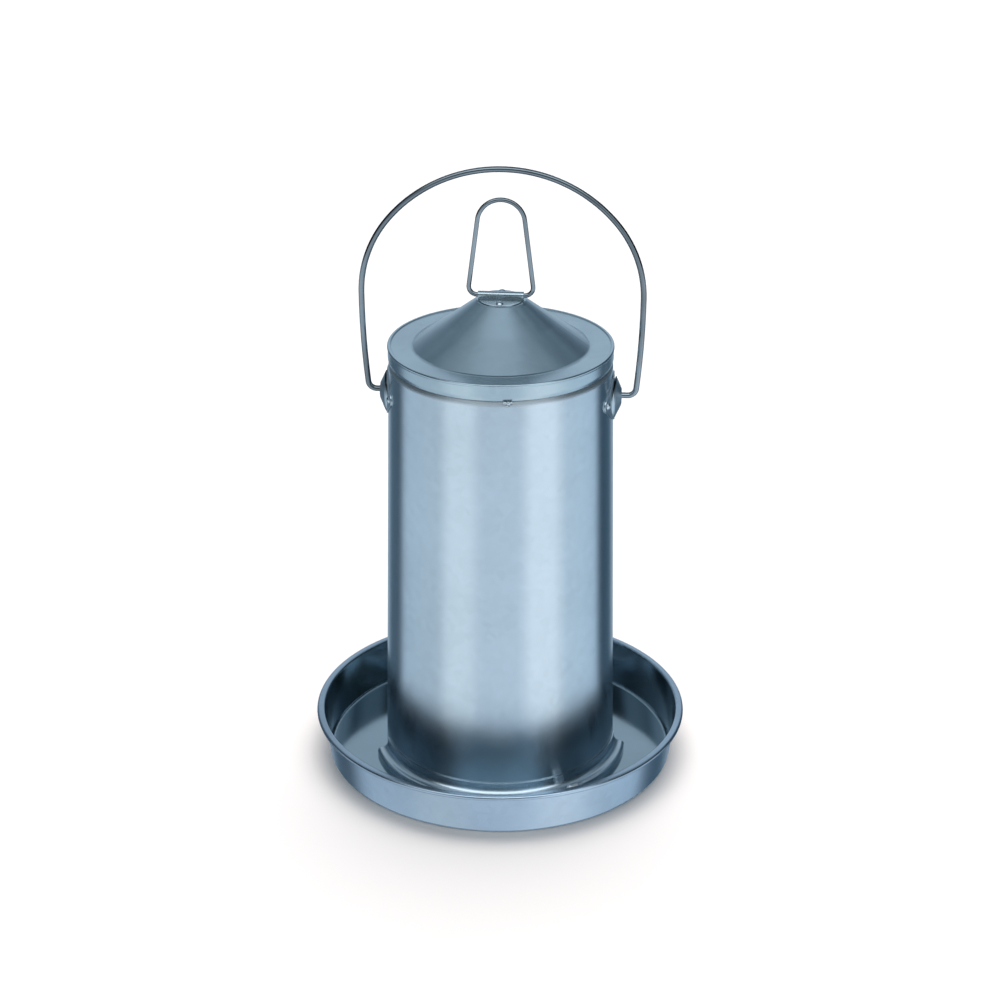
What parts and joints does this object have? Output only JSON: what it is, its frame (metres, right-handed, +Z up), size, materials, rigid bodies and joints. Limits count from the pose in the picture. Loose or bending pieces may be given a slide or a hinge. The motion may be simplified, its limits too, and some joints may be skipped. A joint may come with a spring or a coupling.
{
  "type": "poultry waterer fount",
  "caption": "Galvanised double-cylinder poultry fount: a shallow drinking pan with a fixed tank, a lift-off cover with a conical cap, a lifting loop and a carrying bail.",
  "frame": {"origin": "centre of the pan's underside, on the ground", "axes": "+Z up along the centre line of the fount; the bail's ears are on +X and -X; +Y is the side with the cover's lock seam"},
  "size_m": [0.2776, 0.2776, 0.4558],
  "materials": {
    "cover_sheet": "hot-dip galvanised sheet, bluish silver, rolled smooth",
    "pan_sheet": "hot-dip galvanised sheet, bluish silver",
    "tank_sheet": "hot-dip galvanised sheet, duller inside",
    "wire": "bright galvanised wire",
    "solder": "dull grey solder",
    "rivet_metal": "zinc-plated steel rivet"
  },
  "bodies": {
    "base": {"pan": "pan_sheet", "pan_rim_wire": "wire", "inner_tank": "tank_sheet", "tank_rim_wire": "wire", "tank_foot_ring": "tank_sheet", "tank_solder_ring": "solder", "locating_studs": "rivet_metal"},
    "cover": {"cover_cylinder": "cover_sheet", "foot_flange_front": "cover_sheet", "foot_flange_rear": "cover_sheet", "cap": "cover_sheet", "cap_solder_tacks": "solder", "cap_solder_ring": "solder", "handle_strap": "cover_sheet", "strap_rivets": "rivet_metal", "strap_washers": "rivet_metal", "ear_left": "cover_sheet", "ear_right": "cover_sheet", "ear_rivets_left": "rivet_metal", "ear_rivets_right": "rivet_metal", "ear_washers_left": "rivet_metal", "ear_washers_right": "rivet_metal"},
    "bail": {"bail": "wire"},
    "loop": {"loop_handle": "wire"}
  },
  "joints": [
    {"name": "cover_lift", "type": "slide", "parent": "base", "child": "cover", "axis": [0, 0, 1], "range_m": [0, 0.3]},
    {"name": "bail_swing", "type": "hinge", "parent": "cover", "child": "bail", "pos_m": [0, 0, 0.2888], "axis": [1, 0, 0], "range_deg": [-145, 145]},
    {"name": "loop_swing", "type": "hinge", "parent": "cover", "child": "loop", "pos_m": [0, 0, 0.3621], "axis": [1, 0, 0], "range_deg": [-110, 110]}
  ]
}
